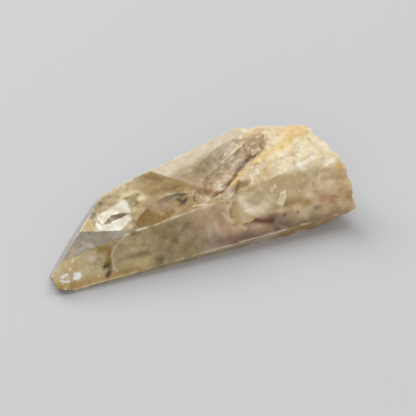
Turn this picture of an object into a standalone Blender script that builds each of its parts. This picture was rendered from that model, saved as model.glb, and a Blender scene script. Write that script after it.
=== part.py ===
"""A citrine crystal point, broken off at its root and lying on one of its prism faces.

The long axis runs along X with the tip at -X, the crystal rests on z = 0, and lengths are in metres.
Each natural face is a plane given by three values: the direction it faces round the long axis
(0 is -Y, 90 is up), how far it leans towards the tip, both in degrees, and its distance from AXIS.
"""

import math

import bmesh
import bpy
from mathutils import Matrix, Vector, noise

# Driving dimensions
AXIS = Vector((0.00330, -0.00282, 0.00500))
BLANK = 0.120
PRISM_TURN = 60.0
FIRST_PRISM_FACE = -33.0
PRISM_LEANS = (2.1, 5.7, 6.9, 10.5, 7.3)
PRISM_DISTANCES = (0.008065, 0.005737, 0.004536, 0.010873, 0.011810)
RESTING_FACE = (-90.0, 0.0, AXIS.z)
TIP_FACE = (137.4, 40.1, 0.016446)
TIP_EDGE_CHIPS = ((-89.3, 69.6, 0.029049), (-53.8, 22.4, 0.016733))
WORN_ARRISES = ((81.4, 9.8, 0.005549), (176.0, 11.0, 0.01280))

# The root is broken on four rough faces, centred over BREAK_MIDDLE, a place in the root given from AXIS
ROOT_END = (173.5, -83.1, 0.02237)
ROOT_TOP = (85.5, -1.7, 0.00706)
BACK_BREAK = (141.3, -17.5, 0.01518)
UNDER_BREAK = (-86.4, -28.6, 0.01262)
BREAK_MIDDLE = Vector((0.018, 0.003, 0.0))
BREAK_SLAB = 0.040
BREAK_CELLS = 50
BREAK_LUMP = 0.0032
BREAK_RELIEF = 0.00050

# The spalled facet on the root, which ends at the ledge over the valley; the ledge runs along a vertical
# plane given by the heading of its normal in degrees and its distance from AXIS
SPALL = (72.3, 10.2, 0.003535)
SPALL_BLOCK = 0.080
LEDGE_HEADING = -39.9
LEDGE_DISTANCE = 0.004226

# Conchoidal scoops: centre from AXIS, half-lengths, and turns about Z, Y and the long way, in degrees
SMOOTH_SCOOP = (Vector((-0.0092, -0.0010, 0.00515)), (0.0082, 0.0036, 0.0022), (17.0, -7.0, 4.0))
VALLEY = (Vector((0.0047, 0.0014, 0.00640)), (0.0090, 0.0034, 0.0031), (30.0, -7.0, 22.0))
VALLEY_MOUTH = (Vector((0.0022, -0.0038, 0.00560)), (0.0040, 0.0020, 0.0018), (42.0, -7.0, 0.0))
ROOT_SCOOPS = (
    (Vector((0.0305, 0.0010, 0.0005)), (0.0090, 0.0066, 0.0046), (8.0, 20.0, 0.0)),
    (Vector((0.0282, 0.0090, 0.0075)), (0.0072, 0.0076, 0.0058), (-30.0, 35.0, 0.0)),
    (Vector((0.0165, 0.0200, 0.0020)), (0.0082, 0.0066, 0.0048), (-25.0, 5.0, 0.0)),
    (Vector((0.0250, -0.0092, 0.0062)), (0.0044, 0.0030, 0.0030), (15.0, 30.0, 0.0)),
)
ARRIS_CHIPS = (
    (Vector((-0.0040, -0.0046, 0.00420)), (0.0016, 0.0008, 0.0007), (-4.0, -6.0, 30.0)),
    (Vector((-0.0105, -0.0041, 0.00340)), (0.0012, 0.0006, 0.0006), (-4.0, -6.0, 30.0)),
    (Vector((-0.0060, 0.0132, -0.00080)), (0.0019, 0.0010, 0.0012), (8.0, -8.0, 0.0)),
    (Vector((0.0030, 0.0123, -0.00500)), (0.0020, 0.0009, 0.0009), (6.0, 0.0, 0.0)),
    (Vector((-0.0225, 0.0086, -0.00250)), (0.0012, 0.0010, 0.0012), (30.0, 10.0, 0.0)),
)
SMOOTH = 0.0
SCOOP_ROUGHNESS = 0.00012
ROOT_SCOOP_ROUGHNESS = 0.00060
VALLEY_ROUGHNESS = 0.00045
SCOOP_FINENESS = 4
CHIP_FINENESS = 3

# What stands proud of the root: a knob, the ledge's crest, a thin flake and half-buried small crystals,
# which are given by middle, radius, length between their points, heading and pitch
ROOT_LUMPS = (
    (Vector((0.0221, -0.0075, 0.0004)), (0.0017, 0.0018, 0.0024), (10.0, 0.0, 0.0)),
    (Vector((0.0112, 0.0034, 0.0052)), (0.0052, 0.0011, 0.0010), (24.0, -7.0, 0.0)),
)
LUMP_ROUGHNESS = 0.00025
FLAKE = (Vector((0.0106, 0.0052, 0.00600)), (0.0027, 0.0021, 0.0006), (24.0, -8.0, -10.0))
SMALL_CRYSTALS = (
    (Vector((0.0098, -0.0056, 0.00300)), 0.00062, 0.0030, 9.0, -28.0),
    (Vector((0.0112, -0.0057, 0.00330)), 0.00050, 0.0026, 4.0, -34.0),
    (Vector((0.0072, -0.0052, 0.00250)), 0.00070, 0.0030, 12.0, -12.0),
)
CRYSTAL_SIDES = 6
POINT_PER_RADIUS = 1.2

# The wander of rough surfaces: each layer is this many times finer than the one before it
LAYERS = 3
LAYER_STEP = 2.3
LAYER_FADE = 1.0
CUTTER_SHIFT = Vector((3.37, 7.61, -5.19))
MERGE_DISTANCE = 0.000004

# Colour and gloss
GOLDEN = (0.55, 0.42, 0.24, 1.0)
GLOSS_ROUGHNESS = 0.18
QUARTZ_IOR = 1.544


def face_normal(around, lean):
    """The outward direction of a face from its two angles in degrees."""
    around, lean = math.radians(around), math.radians(lean)
    across = math.cos(lean)
    return Vector((-math.sin(lean), -across * math.cos(around), across * math.sin(around)))


def turned(turns):
    """A rotation: about the long way of the shape first, then its pitch about Y, then its heading about Z."""
    heading, pitch, roll = (math.radians(turn) for turn in turns)
    return Matrix.Rotation(heading, 4, "Z") @ Matrix.Rotation(pitch, 4, "Y") @ Matrix.Rotation(roll, 4, "X")


def cut_off(shape, point, normal):
    """Remove what lies beyond a plane and close the cut with one flat face."""
    parts = shape.verts[:] + shape.edges[:] + shape.faces[:]
    cut = bmesh.ops.bisect_plane(
        shape, geom=parts, dist=MERGE_DISTANCE, plane_co=point, plane_no=normal, clear_outer=True
    )
    rim = [item for item in cut["geom_cut"] if isinstance(item, bmesh.types.BMEdge)]
    bmesh.ops.contextual_create(shape, geom=rim)


def unevenness(place, lump):
    """A smooth value of about -1 to 1 that wanders over lumps of the given size, unlike on each new cutter."""
    shift = CUTTER_SHIFT * len(cutters.objects)
    return noise.fractal(place / lump + shift, LAYER_FADE, LAYER_STEP, LAYERS)


def add_object(shape, name, collection, material=None):
    """Turn a finished shape into an object of a collection."""
    shape.normal_update()
    bmesh.ops.recalc_face_normals(shape, faces=shape.faces)
    mesh = bpy.data.meshes.new(name)
    shape.to_mesh(mesh)
    shape.free()
    thing = bpy.data.objects.new(name, mesh)
    collection.objects.link(thing)
    if material:
        mesh.materials.append(material)
    else:
        thing.hide_render = True
        thing.display_type = "WIRE"
    return thing


def broken_slab(name, face):
    """A block whose underside is a rough break: it takes off everything beyond that face."""
    around, lean, distance = face
    shape = bmesh.new()
    bmesh.ops.create_cube(shape, size=BREAK_SLAB)
    bmesh.ops.subdivide_edges(shape, edges=shape.edges, cuts=BREAK_CELLS - 1, use_grid_fill=True)
    for vertex in shape.verts:
        vertex.co.z += BREAK_RELIEF * unevenness(vertex.co, BREAK_LUMP)
    normal = face_normal(around, lean)
    foot = BREAK_MIDDLE + normal * (distance - BREAK_MIDDLE.dot(normal))
    aim = normal.to_track_quat("Z", "Y").to_matrix().to_4x4()
    lift = Matrix.Translation((0.0, 0.0, BREAK_SLAB / 2))
    shape.transform(Matrix.Translation(AXIS + foot) @ aim @ lift)
    return add_object(shape, name, cutters)


def ellipsoid(name, form, relief, fineness=SCOOP_FINENESS):
    """A slightly uneven ellipsoid, as a scoop to cut out or a lump to join on."""
    centre, half_lengths, turns = form
    shape = bmesh.new()
    bmesh.ops.create_icosphere(shape, subdivisions=fineness, radius=1.0)
    for vertex in shape.verts:
        outward = Vector(along * half for along, half in zip(vertex.co, half_lengths))
        swell = relief * unevenness(outward, min(half_lengths))
        vertex.co = outward * (1.0 + swell / min(half_lengths))
    shape.transform(Matrix.Translation(AXIS + centre) @ turned(turns))
    return add_object(shape, name, cutters)


def small_crystal(name, middle, radius, length, heading, pitch):
    """A six-sided prism with a six-sided point at each end, for half-buried crystals."""
    shape = bmesh.new()
    bmesh.ops.create_cone(
        shape, cap_ends=True, segments=CRYSTAL_SIDES, radius1=radius, radius2=radius, depth=length
    )
    ends = [face for face in shape.faces if len(face.verts) == CRYSTAL_SIDES]
    for end in ends:
        apex = bmesh.ops.poke(shape, faces=[end])["verts"][0]
        apex.co.z += math.copysign(POINT_PER_RADIUS * radius, apex.co.z)
    lie_down = Matrix.Rotation(math.radians(90.0), 4, "Y")
    shape.transform(Matrix.Translation(AXIS + middle) @ turned((heading, pitch, 0.0)) @ lie_down)
    return add_object(shape, name, cutters)


def boolean(target, other, operation):
    """Cut the other shape out of the target, or join it on."""
    change = target.modifiers.new(other.name, "BOOLEAN")
    change.operation = operation
    change.solver = "EXACT"
    change.object = other


for old in list(bpy.data.objects):
    bpy.data.objects.remove(old, do_unlink=True)
crystal_pieces = bpy.data.collections.new("citrine_crystal_point")
cutters = bpy.data.collections.new("cutters")
bpy.context.scene.collection.children.link(crystal_pieces)
bpy.context.scene.collection.children.link(cutters)

citrine = bpy.data.materials.new("citrine")
citrine.use_nodes = True
finish = citrine.node_tree.nodes["Principled BSDF"]
finish.inputs["Base Color"].default_value = GOLDEN
finish.inputs["Roughness"].default_value = GLOSS_ROUGHNESS
finish.inputs["Metallic"].default_value = 0.0
finish.inputs["IOR"].default_value = QUARTZ_IOR

# The prism, its termination and its worn arrises
body = bmesh.new()
bmesh.ops.create_cube(body, size=BLANK)
prism_faces = [
    (FIRST_PRISM_FACE + PRISM_TURN * turn, lean, distance)
    for turn, (lean, distance) in enumerate(zip(PRISM_LEANS, PRISM_DISTANCES))
]
for around, lean, distance in prism_faces + [RESTING_FACE, TIP_FACE, *WORN_ARRISES, *TIP_EDGE_CHIPS]:
    outward = face_normal(around, lean)
    cut_off(body, AXIS + outward * distance, outward)
far_end = AXIS + Vector((ROOT_END[2] + 2 * BREAK_LUMP, 0.0, 0.0))
cut_off(body, far_end, Vector((1.0, 0.0, 0.0)))
crystal = add_object(body, "crystal_point", crystal_pieces, citrine)

# What is joined on before the breaks go through it
for number, lump in enumerate(ROOT_LUMPS):
    boolean(crystal, ellipsoid(f"lump_{number}", lump, LUMP_ROUGHNESS), "UNION")

# The rough breaks, the spalled facet and the scoops
for number, face in enumerate((ROOT_END, ROOT_TOP, BACK_BREAK, UNDER_BREAK)):
    boolean(crystal, broken_slab(f"break_{number}", face), "DIFFERENCE")
spall_normal = face_normal(SPALL[0], SPALL[1])
ledge_normal = Matrix.Rotation(math.radians(LEDGE_HEADING), 3, "Z") @ Vector((1.0, 0.0, 0.0))
spall = bmesh.new()
bmesh.ops.create_cube(spall, size=SPALL_BLOCK)
cut_off(spall, AXIS + spall_normal * SPALL[2], -spall_normal)
cut_off(spall, AXIS + ledge_normal * LEDGE_DISTANCE, -ledge_normal)
boolean(crystal, add_object(spall, "spall", cutters), "DIFFERENCE")
boolean(crystal, ellipsoid("smooth_scoop", SMOOTH_SCOOP, SMOOTH), "DIFFERENCE")
boolean(crystal, ellipsoid("valley", VALLEY, VALLEY_ROUGHNESS), "DIFFERENCE")
boolean(crystal, ellipsoid("valley_mouth", VALLEY_MOUTH, SCOOP_ROUGHNESS), "DIFFERENCE")
for number, scoop in enumerate(ROOT_SCOOPS):
    boolean(crystal, ellipsoid(f"root_scoop_{number}", scoop, ROOT_SCOOP_ROUGHNESS), "DIFFERENCE")
for number, chip in enumerate(ARRIS_CHIPS):
    boolean(crystal, ellipsoid(f"arris_chip_{number}", chip, SMOOTH, CHIP_FINENESS), "DIFFERENCE")

# The thin flake over the valley and the small crystals in the front of the root
boolean(crystal, ellipsoid("flake", FLAKE, SCOOP_ROUGHNESS, CHIP_FINENESS), "UNION")
for number, form in enumerate(SMALL_CRYSTALS):
    boolean(crystal, small_crystal(f"small_crystal_{number}", *form), "UNION")
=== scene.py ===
import math

import bpy
import numpy as np
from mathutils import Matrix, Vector


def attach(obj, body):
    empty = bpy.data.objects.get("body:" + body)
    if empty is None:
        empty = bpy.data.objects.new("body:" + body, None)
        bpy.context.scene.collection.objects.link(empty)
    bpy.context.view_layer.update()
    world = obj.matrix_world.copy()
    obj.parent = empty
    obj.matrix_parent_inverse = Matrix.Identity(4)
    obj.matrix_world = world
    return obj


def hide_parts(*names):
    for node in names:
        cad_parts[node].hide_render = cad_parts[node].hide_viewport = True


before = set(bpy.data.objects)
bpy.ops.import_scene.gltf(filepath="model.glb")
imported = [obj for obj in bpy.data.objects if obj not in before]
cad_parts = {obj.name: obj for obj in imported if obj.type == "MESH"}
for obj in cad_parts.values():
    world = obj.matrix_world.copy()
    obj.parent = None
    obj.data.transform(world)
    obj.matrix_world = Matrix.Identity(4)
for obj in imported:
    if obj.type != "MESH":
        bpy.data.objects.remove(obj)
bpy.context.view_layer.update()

# The six-sided prism
# One crystal of natural quartz, grown as a prism whose faces stand about 60 degrees apart round its axis, and
# lying on one of them. Each face is its turn round the axis from the front and its lean to the tip, in
# degrees, and its distance from the crystal's middle. Lengths are in millimetres from there.
MM = 0.001
AXIS = np.array([3.30, -2.82, 5.00])
PRISM_FACES = ((-33, 2.1, 8.065), (27, 5.7, 5.737), (87, 6.9, 4.536), (147, 10.5, 10.873), (207, 7.3, 11.810))
RESTING_FACE = (-90, 0, 5.0)
# The numbers that mark four of the faces on the skin. Those of the other parts stand beside their sizes.
LOW_FRONT, FRONT, TOP, RESTING = 1, 2, 3, 6
# The reach of a ray that meets nothing, and how far past the nearest face another one is left out.
FAR, PAST_LIMIT = 1e3, 2.0
MIXERS = (73856093, 19349663, 83492791, 2654435, 1274126177, 668265263)


def shuffled(cells, channel):
    """A repeatable number from 0 to 1 for each whole-number cell: the channel and the three coordinates are
    multiplied by large odd numbers, put together bit by bit, and mixed twice with their own upper bits."""
    mixed = (channel + 1) * MIXERS[3]
    for axis in range(3):
        mixed = mixed ^ cells[..., axis] * MIXERS[axis]
    mixed = (mixed ^ (mixed >> 13)) * MIXERS[4]
    mixed = (mixed ^ (mixed >> 15)) * MIXERS[5]
    return ((mixed ^ (mixed >> 16)) & 0xFFFFF) / 0xFFFFF


def wander(place, lump, channel=0):
    """Smooth noise from -1 to 1: a random value at each corner of cubes one lump wide, blended by
    smoothstep."""
    scaled = place / lump
    base = np.floor(scaled).astype(np.int64)
    part = scaled - base
    blend = part * part * (3 - 2 * part)
    total = np.zeros(place.shape[:-1])
    for corner in np.ndindex(2, 2, 2):
        weight = np.prod(np.where(np.array(corner) == 1, blend, 1 - blend), axis=-1)
        total += weight * shuffled(base + np.array(corner), channel)
    return 2 * total - 1


def rough(place, lump, channel=0, layers=3):
    """Layers of smooth noise, each 2.1 times finer and half as high as the one before, from about -1 to 1."""
    total = sum(wander(place, lump / 2.1**layer, channel + layer) / 2**layer for layer in range(layers))
    return total / 1.6


def ease(value, low, high):
    """0 below low, 1 above high, and a smoothstep between them."""
    part = np.clip((value - low) / (high - low), 0, 1)
    return part * part * (3 - 2 * part)


def face_normal(around, lean):
    """The outward direction of a face: turned around the axis from the front, 90 being up, and leaning to the
    tip."""
    around, lean = math.radians(around), math.radians(lean)
    across = math.cos(lean)
    return np.array([-math.sin(lean), -across * math.cos(around), across * math.sin(around)])


def to_plane(start, way, normal, distance):
    """How far along each ray a plane lies: (distance - normal . start) / (normal . way)."""
    slope = way @ normal
    return np.where(slope > 1e-4, (distance - start @ normal) / np.maximum(slope, 1e-4), FAR)


def to_face(start, way, face, relief=None, limit=None):
    """A plane's distance along each ray, the plane being moved by a relief read where the ray first meets it.

    Where the plane lies well past the limit it can't end the ray, and its relief isn't worked out.
    """
    normal = face_normal(*face[:2])
    reach = to_plane(start, way, normal, face[2])
    if relief is None:
        return reach
    live = reach < limit + PAST_LIMIT
    met = start[live] + reach[live][..., None] * way[live]
    reach[live] = to_plane(start[live], way[live], normal, face[2] + relief(met))
    return reach


def grown(place):
    """The faint growth relief of a natural face: low mounds and fine lines across the prism, only ever
    inwards."""
    lines = np.abs(wander(place * np.array([1, 0.05, 0.05]), 0.55, 80)) ** 3
    return -0.035 * (1 + wander(place, 4.2, 81)) - 0.010 * (1 + wander(place, 1.1, 82)) - 0.03 * lines


# The clear golden tip
# Honey-gold quartz, clear enough to see into, in cloudy swathes along the prism. One large face closes the
# tip, two arrises beside it are worn flat, two chips are off its end, and bright fractures lie just under its
# faces.
TIP_FACE = (137.4, 40.1, 16.446)
WORN_ARRISES = ((81.4, 9.8, 5.549), (176.0, 11.0, 12.80))
TIP_CHIPS = ((-89.3, 69.6, 29.049), (-53.8, 22.4, 16.733))
END_FACE, TIP_FACET, BACK_FACET, UNDER_CHIP, SIDE_CHIP = range(7, 12)
# Outlines and routes: x and y on the top face, x and z on the front face, or all three.
UPPER_FRACTURE = (
    (-19.6, 2.3), (-18.5, 3.3), (-16.8, 3.7), (-15.0, 4.1), (-13.6, 4.3), (-13.5, 2.6),
    (-13.9, 0.8), (-14.5, 1.5), (-15.6, 1.7), (-17.0, 1.9), (-18.2, 1.2), (-19.0, 0.8),
)
LOWER_FRACTURE = (
    (-21.0, -0.2), (-19.9, 1.9), (-19.0, 0.6), (-17.9, 0.3), (-17.1, 0.9), (-15.8, 0.6),
    (-14.4, 0.9), (-14.3, -0.3), (-15.7, -1.7), (-17.3, -2.1), (-19.8, -1.6),
)
TIP_SPARKS = (
    ((-28.8, -2.0), (-28.4, -1.7), (-27.4, -1.6), (-27.3, -1.9), (-28.4, -2.3)),
    ((-28.9, -2.3), (-28.7, -2.8), (-27.4, -3.1), (-27.3, -2.8), (-28.3, -2.6)),
    ((-26.8, -2.8), (-26.4, -1.7), (-25.4, -1.8), (-25.2, -2.4), (-25.8, -2.9)),
)
YELLOW_PATCH = ((-24.6, 0.8), (-23.2, 2.6), (-20.3, 2.9), (-20.3, 1.0), (-20.9, -0.6))
FLAME_GAP = ((-18.8, 0.5), (-18.2, 1.2), (-17.0, 1.9), (-15.6, 1.7), (-14.4, 1.1), (-15.8, 0.7), (-17.2, 0.8))
# A glow of light painted on the top face as a pale patch beside the upper fracture.
TOP_PAINTED_GLOW = ((-14.5, 4.9), (-12.9, 5.6), (-10.9, 5.2), (-10.2, 3.2), (-12.6, 1.8))
DARK_FLECKS = ((-20.0, 2.9), (-18.5, 5.0), (-17.4, 5.8), (-15.8, 6.6))
TIP_STRIP = ((-23.0, 1.0), (-20.5, 4.2), (-18.0, 6.1), (-16.1, 7.2))
PALE_CURVE = (
    (-16.2, -3.4, 2.5), (-18.8, -3.9, 0.8), (-19.6, -4.4, -0.3), (-19.7, -5.4, -2.3), (-19.2, -5.8, -3.0),
)
PALE_STREAK = ((-23.4, -1.2, 1.5), (-22.6, -2.8, 1.3))
AMBER_STREAK = ((-26.5, -3.2, 0.6), (-25.2, -1.3, 1.1))
OCHRE_CLOUD = ((-21.3, 0.9), (-19.8, 0.7), (-20.3, -1.3))
STRAW_CLOUD = ((-17.7, -1.9), (-16.2, -2.7), (-13.4, -2.6))
OLIVE_CLOUD = ((-18.4, -1.2), (-16.0, -1.0), (-13.4, -1.1))
DARK_CLOUD = ((-21.4, -1.9), (-20.4, -1.5), (-20.5, -2.7), (-21.0, -3.2))
# A painted glint on the front face, as x and z.
PALE_PAINTED_GLINT_PATCH = ((-24.5, 0.4), (-23.4, 0.6), (-22.3, -0.2), (-23.1, -0.7))


def shade(text):
    """A colour from its six-figure name, such as b0a487, in the renderer's linear values."""
    parts = np.array([int(text[place:place + 2], 16) for place in (0, 2, 4)]) / 255
    return np.where(parts < 0.04045, parts / 12.92, ((parts + 0.055) / 1.055) ** 2.4)


def apart(place, route):
    """The distance to a route of straight stretches."""
    closest = np.full(place.shape[:-1], FAR)
    for start, end in zip(route[:-1], route[1:]):
        start, stretch = np.array(start, float), np.array(end, float) - np.array(start, float)
        share = np.clip((place - start) @ stretch / (stretch @ stretch), 0, 1)
        closest = np.minimum(closest, np.linalg.norm(place - start - share[..., None] * stretch, axis=-1))
    return closest


def near(place, route, width):
    """1 on a route of straight stretches, falling to 0 at a distance of width from it."""
    return 1 - ease(apart(place, route) / width, 0, 1)


def within(flat, outline, soft=0.12):
    """1 inside a closed outline of straight edges and 0 outside, easing over a soft border.

    The side comes from how many edges lie to the right of a place, odd being inside, and the border from its
    distance to the nearest edge.
    """
    u, v = flat[..., 0], flat[..., 1]
    inside = np.zeros(u.shape, bool)
    for (u0, v0), (u1, v1) in zip(outline, outline[1:] + outline[:1]):
        rise = v1 - v0 if v1 != v0 else 1e-9
        inside ^= ((v0 > v) != (v1 > v)) & (u < u0 + (v - v0) * (u1 - u0) / rise)
    border = apart(flat, outline + outline[:1])
    return ease(np.where(inside, border, -border), -soft, soft)


class Coat:
    """The colour, milkiness and roughness at each place of a skin, laid on in washes under masks from 0 to 1.

    A place's kind is the number of the face, break, lump or scoop that it lies on. The crystal's own coat has
    two masks besides: top, for the top face with the valley, and front, for the front face.
    """

    def __init__(self, place, kind, tone, milk, matt):
        self.place, self.kind = place, kind
        self.x, self.y, self.z = place[..., 0], place[..., 1], place[..., 2]
        self.colour = np.zeros(place.shape) + shade(tone)
        self.milk, self.matt = np.full(kind.shape, milk), np.full(kind.shape, matt)

    def on(self, *kinds):
        """1 on places of these kinds and 0 on the others."""
        return np.isin(self.kind, kinds).astype(float)

    def near(self, route, width, waver=0.0, lump=1.2, channel=300):
        """1 on a route, falling to 0 at its width, which wavers with smooth noise."""
        return near(self.place, route, width + waver * wander(self.place, lump, channel))

    def wash(self, mask, tone=None, strength=1.0, milk=None, matt=None):
        """Moves the colour, milkiness and roughness to new values by the mask's share of the strength."""
        share = np.clip(mask * strength, 0, 1)
        if tone:
            self.colour += (shade(tone) - self.colour) * share[..., None]
        if milk is not None:
            self.milk += (milk - self.milk) * share
        if matt is not None:
            self.matt += (matt - self.matt) * share

    def washes(self, mask, *layers):
        """Several washes under one mask, each layer being a second mask, a tone and a strength."""
        for share, tone, strength in layers:
            self.wash(mask * share, tone, strength)


def paint_clear(coat):
    """Gold with cloudy swathes, khaki nearer to the milky part, a yellow patch and dark flecks at the tip,
    and painted light: the fractures' reflections, a glow and glints.
    """
    place, x, z, top, front = coat.place, coat.x, coat.z, coat.top, coat.front
    from_above, from_front = place[..., :2], place[..., ::2]
    swathe, veil = rough(place * np.array([0.6, 1, 1]), 3.0, 200), rough(place, 1.1, 203)
    coat.washes(
        1.0,
        (ease(swathe, -0.1, 0.5), "dfca9c", 0.8),
        (ease(-swathe, 0.05, 0.6), "a98950", 0.7),
        (ease(veil, 0.15, 0.6), "ead8b0", 0.55),
        (ease(-veil, 0.2, 0.6), "8a7440", 0.5),
    )
    coat.milk += 0.14 * swathe + 0.10 * veil

    khaki = top * ease(x, -13, -8)
    coat.wash(khaki, "a88c5c", 0.8, milk=0.82)
    coat.wash(khaki * ease(veil, 0.05, 0.45), "cbb07a", 0.7)
    coat.wash(khaki * ease(-swathe, 0.0, 0.5), "856a3d", 0.5)
    # Painted light: a pale glow on the top face.
    coat.wash(top * within(from_above, TOP_PAINTED_GLOW, 0.9) * ease(veil, -0.5, 0.3), "fbeab8", 0.85, milk=0.88)
    coat.washes(
        top,
        (near(from_above, DARK_FLECKS, 1.0) * ease(veil, -0.25, 0.2), "5d5634", 0.85),
        (near(from_above, DARK_FLECKS, 1.6) * ease(rough(place, 0.6, 205), 0.25, 0.5), "d9bf66", 0.8),
        (near(from_above, TIP_STRIP, 0.55), "d8cba3", 0.8),
    )
    ragged = from_above + 0.22 * np.stack([wander(place, 0.8, 208), wander(place, 0.8, 209)], axis=-1)
    vein = 1 - ease(np.abs(wander(place, 1.3, 207)), 0.02, 0.11)
    # Painted reflection: each fracture's mirror-like glare is painted near white on the top face, over its
    # pale veil.
    for window in (UPPER_FRACTURE, LOWER_FRACTURE):
        fracture_glare = top * within(ragged, window, 0.1)
        coat.wash(fracture_glare, "fffaea", milk=0.72, matt=0.08)
        coat.wash(fracture_glare * ease(rough(place, 1.0, 218, 2), 0.0, 0.3), "ede1bb", 0.65)
        coat.wash(fracture_glare * vein, "b29e6c", 0.5)
    coat.wash(top * within(ragged, FLAME_GAP, 0.1), "7d6b42", 0.95, milk=0.75)
    coat.wash(coat.on(END_FACE, BACK_FACET), "877b55", 0.85, milk=0.62, matt=0.15)
    coat.wash((top + coat.on(END_FACE)) * within(from_above, YELLOW_PATCH), "c8b074", 0.95, milk=0.85)

    worn = coat.on(TIP_FACET, UNDER_CHIP, SIDE_CHIP)
    coat.wash(worn, "756b52", 0.9, milk=0.85, matt=0.2)
    coat.wash(worn * ease(rough(place * np.array([0.4, 1, 1]), 1.6, 219), 0.1, 0.5), "8f8464", 0.6)
    coat.washes(
        coat.on(TIP_FACET),
        (coat.near(PALE_STREAK, 0.5, 0.3), "b9b096", 0.5),
        (coat.near(AMBER_STREAK, 0.4), "b58c3c", 0.8),
    )

    before_milky = front * (1 - ease(x, -3, 1))
    coat.washes(
        before_milky,
        (ease(x, -15, -9), "b7a27c", 0.6),
        (ease(x, -17, -11) * ease(rough(place, 1.7, 214), 0.0, 0.45), "8b764b", 0.65),
        (ease(x, -17, -11) * ease(-rough(place, 1.4, 217), 0.1, 0.5), "d2bd88", 0.6),
    )
    coat.wash(front * (1 - ease(x, -25, -19)), "f2dcac", 0.8, milk=0.76)
    low = ease(0.4 * wander(place, 2.0, 206) - z, 2.5, 3.4) * (1 - ease(x, -16, -9))
    coat.wash(front * low, "cfa75c", 0.75)
    # Painted glints: near-white spots on the front near the tip, where fine facets catch the light.
    painted_glints = (1 - ease(x, -23, -20)) * ease(rough(place, 0.5, 210, 2), 0.3, 0.55)
    coat.wash(front * painted_glints, "fff6dc", 0.75, milk=0.9)
    coat.washes(
        front,
        (near(from_front, OCHRE_CLOUD, 1.2), "a8842e", 0.8),
        (near(from_front, STRAW_CLOUD, 1.3), "ead59a", 0.85),
        (near(from_front, OLIVE_CLOUD, 0.8), "8d7238", 0.6),
    )
    coat.wash(front * near(from_front, DARK_CLOUD, 0.75) * ease(veil, -0.4, 0.0), "3d3416", 0.9, milk=0.75)
    # A painted glint: a pale patch on the front standing for a reflection.
    coat.wash(front * within(from_front, PALE_PAINTED_GLINT_PATCH, 0.3), "efe6cc", 0.7)
    # The sparks are painted glints: pure white spots on the front over the small fractures.
    for spark in TIP_SPARKS:
        coat.wash(front * within(from_front, spark, 0.12), "ffffff", milk=0.97, matt=0.05)
    coat.wash(coat.near(PALE_CURVE, 0.32, 0.12, 0.8), "ded3ba", 0.75, milk=0.9)


# The milky part
# Milky quartz that begins at an old growth line: crisply on the top face, where it is cream, and slowly in
# front, where it is pinkish tan with a dark red-brown stain and a pale crack.
GROWTH_LINE = (-6.93, 8.71)
DARK_RED = ((3.8, -6.6, 0.4), (5.3, -6.7, 0.5), (6.8, -7.1, 0.0), (8.4, -7.4, -0.2))
FRONT_CRACK = ((0.2, -5.1, 2.5), (1.6, -6.2, 0.8), (3.7, -7.2, -0.7))


def paint_milky(coat):
    """Cream in warm and pale patches on the top, pinkish in front, a dark red-brown stain and a pale crack.

    The distance past the growth line says how milky a place is, with its own softness on each side.
    """
    place, x, y, z, top, front = coat.place, coat.x, coat.y, coat.z, coat.top, coat.front
    past = (x - GROWTH_LINE[0]) * 0.82 + (y - GROWTH_LINE[1]) * 0.57
    crisp = ease(past + 0.18 * wander(place, 1.2, 220), -0.08, 0.12)
    slow = ease(past + 2.2 * wander(place, 3.0, 221), -9.0, -1.0)
    hidden = ease(past + 1.5 * wander(place, 2.5, 222), -1.0, 2.0)
    milky = np.where(front > 0, slow, np.where(top > 0, crisp, hidden))
    patch = rough(place, 2.4, 225)
    coat.wash(milky, "ae9e82", milk=1.0)
    coat.washes(
        milky * top,
        ((1 - ease(x, -4, 4)) * ease(patch, -0.4, 0.2), "ba9760", 0.75),
        (ease(patch, 0.1, 0.6), "decdaf", 0.8),
        (ease(-patch, 0.2, 0.6), "9a7d58", 0.7),
        (ease(y - 0.12 * x + 0.5 * wander(place, 1.6, 224), 5.6, 8.0), "dcd0b9", 0.85),
    )
    coat.washes(
        milky * front,
        (1.0, "dbbd9e", 0.95),
        (ease(patch, 0.0, 0.5), "e8d0b4", 0.6),
        (ease(-patch, 0.0, 0.5), "b5957a", 0.6),
        (ease(x + wander(place, 3.0, 223), 5.0, 10.0), "77614a", 0.85),
    )
    coat.wash(front * ease(x, 10.0, 14.0), "cbb48e", 0.9, milk=1.0)
    coat.wash(milky * front * ease(-z + 0.8 * wander(place, 2.0, 226), -0.2, 2.0), "6d5348", 0.85)
    coat.wash(milky * (1 - np.maximum(top, front)), "d2b98e", 0.6)
    coat.wash(front * coat.near(DARK_RED, 1.2, 0.4), "623422", 0.9)
    coat.wash(coat.near(FRONT_CRACK, 0.36, 0.1), "e3cba6", 0.85)


# The valley
# A weathered groove across the top, with sugary banks, a dark brown bottom deepened by painted shade and an
# amber hollow at its mouth.
# Each of its scoops is an ellipsoid's middle, half lengths and turns, and each finish is its lumps' height,
# the grain of the facets chiselled into it and how softly its rim is worn.
VALLEY = ((4.4, 1.9, 6.4), (9.0, 2.8, 3.1), (30, -7, 20))
VALLEY_MOUTH = ((2.2, -3.8, 5.6), (4.0, 2.0, 1.8), (42, -7, 0))
VALLEY_BANK = ((4.2, 4.5, 8.2), (7.8, 3.4, 4.05), (30, -6, 8))
VALLEY_FINISH, MOUTH_FINISH, BANK_FINISH = (0.40, 2.2, 1.8), (0.12, None, 1.2), (0.25, 1.5, 1.9)
VALLEY_PARTS = (41, 42, 52)
GROOVE = (
    (11.2, 4.2, 5.4), (10.2, 4.6, 4.4), (8.8, 4.2, 4.0), (7.8, 3.7, 3.5), (6.6, 2.8, 3.5), (5.0, 1.0, 3.7),
    (4.0, 0.5, 3.3), (2.0, -1.4, 3.8), (0.4, -1.5, 3.3),
)
BANK_PAINTED_SHADE = ((0.6, 1.4, 3.4), (2.5, 2.6, 3.4), (4.6, 4.1, 3.5), (6.9, 5.0, 3.7))
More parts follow.
